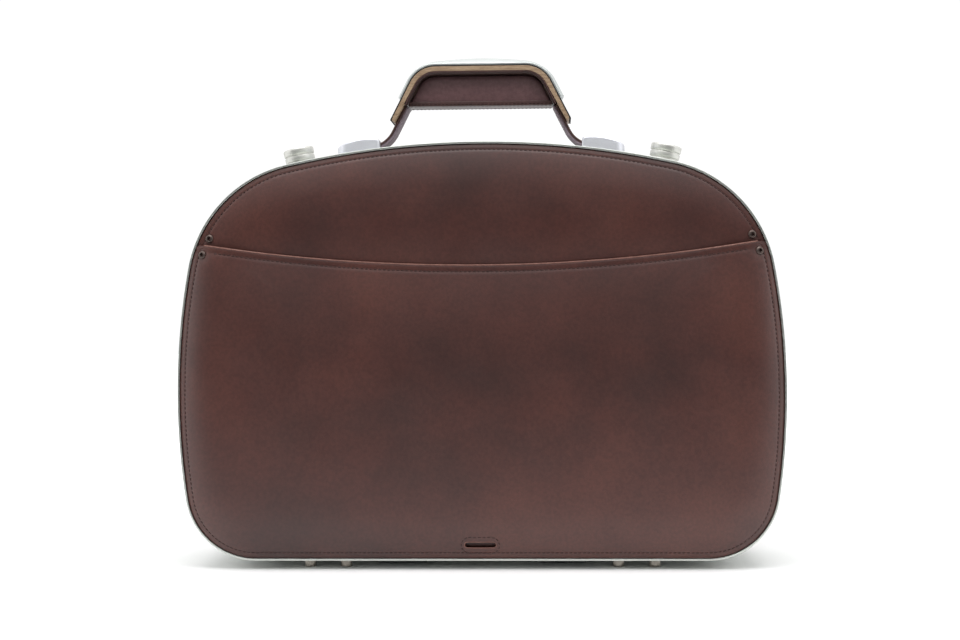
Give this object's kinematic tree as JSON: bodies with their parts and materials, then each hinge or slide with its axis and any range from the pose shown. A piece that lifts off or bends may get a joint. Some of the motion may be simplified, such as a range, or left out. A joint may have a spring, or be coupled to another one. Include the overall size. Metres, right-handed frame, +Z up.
{
  "type": "framed attache case",
  "caption": "Round-shouldered hand case: two aluminium framed shells with padded leather, a front slip pocket, rotary latches and an arched laminated handle.",
  "frame": {"origin": "centre of the overall box at floor level, under the feet", "axes": "+X along the case width, -Y the side with the slip pocket, +Z up through the handle"},
  "size_m": [0.4488, 0.127, 0.3844],
  "materials": {
    "frame_aluminium": "satin anodised",
    "case_board": "matt",
    "brown_leather": "semi-gloss aniline",
    "cut_leather_edge": "burnished",
    "lining_fabric": "matt",
    "black_rubber": "matt",
    "handle_wood": "oiled",
    "bronze_screws": "dark",
    "nickel_feet": "satin",
    "brass_bush": "satin",
    "steel_hardware": "satin"
  },
  "bodies": {
    "base_shell": {"base_frame_band": "frame_aluminium", "base_board": "case_board", "base_leather_panel": "brown_leather", "base_lining": "lining_fabric", "base_side_lining": "lining_fabric", "parting_seal": "black_rubber", "base_hinge_leaves": "steel_hardware", "hinge_pins": "steel_hardware", "base_feet": "nickel_feet", "base_foot_screws": "steel_hardware", "handle_cap_left": "frame_aluminium", "handle_cap_right": "frame_aluminium", "handle_anchor_plates": "steel_hardware", "handle_cap_screws": "steel_hardware", "strap_pins": "steel_hardware", "strap_left": "brown_leather", "strap_right": "brown_leather", "latch_bush_left": "brass_bush", "latch_bush_right": "brass_bush", "latch_ring_nuts": "brass_bush"},
    "lid_shell": {"lid_frame_band": "frame_aluminium", "lid_board": "case_board", "lid_leather_panel": "brown_leather", "lid_lining": "lining_fabric", "lid_side_lining": "lining_fabric", "pocket_leather": "brown_leather", "pocket_edge_binding": "cut_leather_edge", "slot_patch": "brown_leather", "pocket_screws": "bronze_screws", "keeper_left": "steel_hardware", "keeper_right": "steel_hardware", "keeper_screws": "steel_hardware", "lid_hinge_leaves": "steel_hardware", "lid_feet": "nickel_feet", "lid_foot_screws": "steel_hardware"},
    "handle_grip": {"handle_top_plate": "frame_aluminium", "handle_gasket": "black_rubber", "handle_wood": "handle_wood", "handle_leather": "brown_leather", "grip_core": "handle_wood", "grip_cover": "brown_leather", "handle_screws": "steel_hardware"},
    "latch_left": {"knob_left": "frame_aluminium", "latch_shaft_left": "steel_hardware", "latch_spring_washer_left": "steel_hardware", "latch_hook_left": "steel_hardware", "latch_nut_left": "steel_hardware"},
    "latch_right": {"knob_right": "frame_aluminium", "latch_shaft_right": "steel_hardware", "latch_spring_washer_right": "steel_hardware", "latch_hook_right": "steel_hardware", "latch_nut_right": "steel_hardware"}
  },
  "joints": [
    {"name": "lid_hinge", "type": "hinge", "parent": "base_shell", "child": "lid_shell", "pos_m": [0, -0.025, 0.0036], "axis": [1, 0, 0], "range_deg": [0, 95]},
    {"name": "latch_left_turn", "type": "hinge", "parent": "base_shell", "child": "latch_left", "pos_m": [-0.1384, 0, 0.30028], "axis": [-0.2119, 0, 0.9773], "range_deg": [-90, 0]},
    {"name": "latch_right_turn", "type": "hinge", "parent": "base_shell", "child": "latch_right", "pos_m": [0.1384, 0, 0.30028], "axis": [0.2119, 0, 0.9773], "range_deg": [0, 90]},
    {"name": "handle_flex", "type": "slide", "parent": "base_shell", "child": "handle_grip", "axis": [0, 0, 1], "range_m": [-0.008, 0.003], "stiffness_N_per_m": 3000, "springref_m": 0.0008, "deforming": ["strap_left", "strap_right"]}
  ]
}
